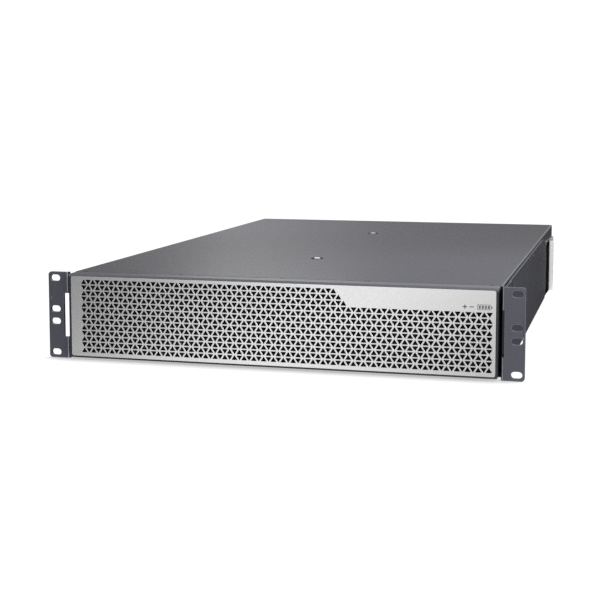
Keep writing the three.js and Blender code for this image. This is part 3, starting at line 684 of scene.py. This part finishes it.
def make_grille():
    """The silver plate with rows of triangles; the top rows stop short of the printed symbol."""
    low, high = GRILLE_LOW, GRILLE_HIGH
    edge = [(low.x, low.z), (high.x, low.z), (high.x, high.z), (low.x, high.z)]
    outlines = [rounded_polygon(edge, SHEET_CORNER, steps=6)]
    for row in range(PLATE_ROWS):
        for column in range(SHORT_ROWS.get(row, PLATE_COLUMNS)):
            x = FIRST_COLUMN + column * COLUMN_STEP
            z = TOP_ROW - row * ROW_STEP
            outlines.append(hole_outline(x, z, (row + column) % 2 == 0))
    mesh = flat_plate("perforated_plate", outlines, SHEET, SHEET_ROUNDING)
    place = (0, low.y + SHEET / 2, 0)
    plate = add_piece("perforated_plate", mesh, "silver_plate", "bezel", place)
    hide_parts("bezel_grille")


# ------------------------------------------------------------------ printed battery symbol

SYMBOL_CENTRE = GRILLE_HIGH.x - 11 * MM
SYMBOL_MIDDLE = 69.2 * MM
INK_THICKNESS = 0.04 * MM
INK_ROUNDING = 0.005 * MM
SIGN_LENGTH = 4.2 * MM
SIGN_WIDTH = 1 * MM
CHARGE_BARS = 4
BAR_STEP = 2.8 * MM


def rectangle(x, z, width, height, radius):
    half, rise = width / 2, height / 2
    corners = [(x - half, z - rise), (x + half, z - rise), (x + half, z + rise), (x - half, z + rise)]
    return rounded_polygon(corners, radius, steps=3)


def symbol_shapes(x, z):
    """The symbol's outlines by name: a battery's shell and pole, charge bars, a plus and a minus."""
    minus, plus = x - 11.5 * MM, x - 18 * MM
    sign_corner = 0.2 * MM
    outside = rectangle(x, z, 13 * MM, 5 * MM, 0.8 * MM)
    inside = rectangle(x, z, 12 * MM, 4 * MM, 0.5 * MM)
    shapes = {
        "symbol_shell": [outside, inside],
        "symbol_pole": [rectangle(x + 7.1 * MM, z, 0.9 * MM, 2.2 * MM, 0.3 * MM)],
        "symbol_minus": [rectangle(minus, z, SIGN_LENGTH, SIGN_WIDTH, sign_corner)],
        "symbol_plus_across": [rectangle(plus, z, SIGN_LENGTH, SIGN_WIDTH, sign_corner)],
        "symbol_plus_up": [rectangle(plus, z, SIGN_WIDTH, SIGN_LENGTH, sign_corner)],
    }
    for bar in range(CHARGE_BARS):
        place = x + (bar - (CHARGE_BARS - 1) / 2) * BAR_STEP
        shapes[f"symbol_bar_{bar + 1}"] = [rectangle(place, z, 2 * MM, 3 * MM, sign_corner)]
    return shapes


def make_symbol():
    """A plain battery outline with four charge bars and a plus and a minus sign, printed in grey."""
    place = (0, GRILLE_LOW.y - INK_THICKNESS / 2, 0)
    for name, outlines in symbol_shapes(SYMBOL_CENTRE, SYMBOL_MIDDLE).items():
        mesh = flat_plate(name, outlines, INK_THICKNESS, INK_ROUNDING)
        add_piece(name, mesh, "symbol_ink", "bezel", place)


# ------------------------------------------------------------------ rivets of the ears

RIVET_RADIUS = 1.5 * MM
RIVET_HEIGHT = 0.35 * MM
RIVET_LEVEL = 81.2 * MM
RIVET_DEPTHS = (290 * MM, 335 * MM)
RIVET_RINGS = 4
RIVET_STEPS = 20


def rivet_head(name, side):
    """A low round head, smooth all over, that stands out along X on the given side."""
    shape = bmesh.new()
    loops = []
    for ring in range(RIVET_RINGS):
        turn = ring / RIVET_RINGS * math.pi / 2
        reach, rise = RIVET_RADIUS * math.cos(turn), RIVET_HEIGHT * math.sin(turn)
        loop = []
        for step in range(RIVET_STEPS):
            angle = 2 * math.pi * step / RIVET_STEPS
            loop.append(shape.verts.new((side * rise, reach * math.cos(angle), reach * math.sin(angle))))
        loops.append(loop)
    for low, high in zip(loops, loops[1:]):
        join_loops(shape, low, high)
    tip = shape.verts.new((side * RIVET_HEIGHT, 0, 0))
    for step in range(RIVET_STEPS):
        shape.faces.new((loops[-1][step], loops[-1][(step + 1) % RIVET_STEPS], tip))
    shape.faces.new(list(reversed(loops[0])))
    mesh = mesh_from(shape, name)
    for face in mesh.polygons:
        face.use_smooth = True
    return mesh


def make_rivets():
    """Two rivets near the top of each ear's side plate, behind its screw."""
    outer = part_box("ear_screw_right")[1].x + 0.2 * MM
    for side, word in ((1, "right"), (-1, "left")):
        for index, depth in enumerate(RIVET_DEPTHS):
            name = f"ear_rivet_{word}_{index + 1}"
            place = (side * outer, EAR_FRONT + depth, RIVET_LEVEL)
            add_piece(name, rivet_head(name, side), "charcoal_paint", "case", place)


# ------------------------------------------------------------------ rubber strips of painted shade, and lid fittings

STRIP_DEPTH = 30 * MM
STRIP_PROUD = 1.3 * MM
STRIP_BEVEL = 0.6 * MM
STRIP_END = 0.4 * MM
STRIP_GAP = 0.2 * MM
WALL_GAP = 0.05 * MM

# Profiles around the lid screws, as (radius, height) in millimetres
# The matt black ring round each lid screw is painted shade
SHADE_RING_PROFILE = [(3.9, 0.02), (3.9, 0.2), (4.5, 0.3), (6.6, 0.26), (7.2, 0.02)]
COLLAR_PROFILE = [(1.9, 0.02), (1.9, 0.5), (2.3, 0.62), (3.0, 0.6), (3.5, 0.42), (3.75, 0.02)]


def strip_section(side, z, shrink, inner, flange):
    """The strip's outline at height z: flat against the wall and bevelled at its front corner."""
    front, back = flange - STRIP_DEPTH + shrink, flange - STRIP_GAP
    outer = inner + STRIP_PROUD - shrink
    corners = (
        (inner, front), (outer - STRIP_BEVEL, front), (outer, front + STRIP_BEVEL),
        (outer, back), (inner, back),
    )
    return [(side * x, y, z) for x, y in corners]


def make_shade_strips():
    """A strip of black rubber on each side wall, in front of the rear bracket's flange: painted shade on
    the wall there.
    """
    low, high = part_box("rear_bracket_right")
    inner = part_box("chassis_base")[1].x + WALL_GAP
    levels = (
        (low.z + STRIP_GAP, STRIP_END), (low.z + STRIP_BEVEL, 0),
        (high.z - STRIP_BEVEL, 0), (high.z, STRIP_END),
    )
    for side, word in ((1, "right"), (-1, "left")):
        name = f"wall_shade_strip_{word}"
        sections = [strip_section(side, z, shrink, inner, low.y) for z, shrink in levels]
        add_piece(name, lofted(name, sections), "matt_rubber", "case")


def make_lid_fittings():
    """Each lid screw stands in a matt black ring of painted shade and carries a low collar round its
    drive, near white as a painted glint.
    """
    lid_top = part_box("top_cover")[1].z
    for place in ("front", "rear"):
        low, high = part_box(f"cover_screw_{place}")
        centre = Vector(((low.x + high.x) / 2, (low.y + high.y) / 2, lid_top))
        for name, profile, finish, slot in (
            (f"lid_shade_ring_{place}", SHADE_RING_PROFILE, "matt_rubber", "black_plastic"),
            (f"lid_collar_{place}", COLLAR_PROFILE, "screw_painted_glint", "screw_steel"),
        ):
            metres = [(reach * MM, rise * MM) for reach, rise in profile]
            add_piece(name, turned(name, centre, metres), finish, "case")


finish_frame()
make_camera()
make_world()
make_floor()
make_lights()
make_grille()
make_symbol()
make_rivets()
make_shade_strips()
make_lid_fittings()

bpy.context.scene.view_settings.view_transform = "Standard"
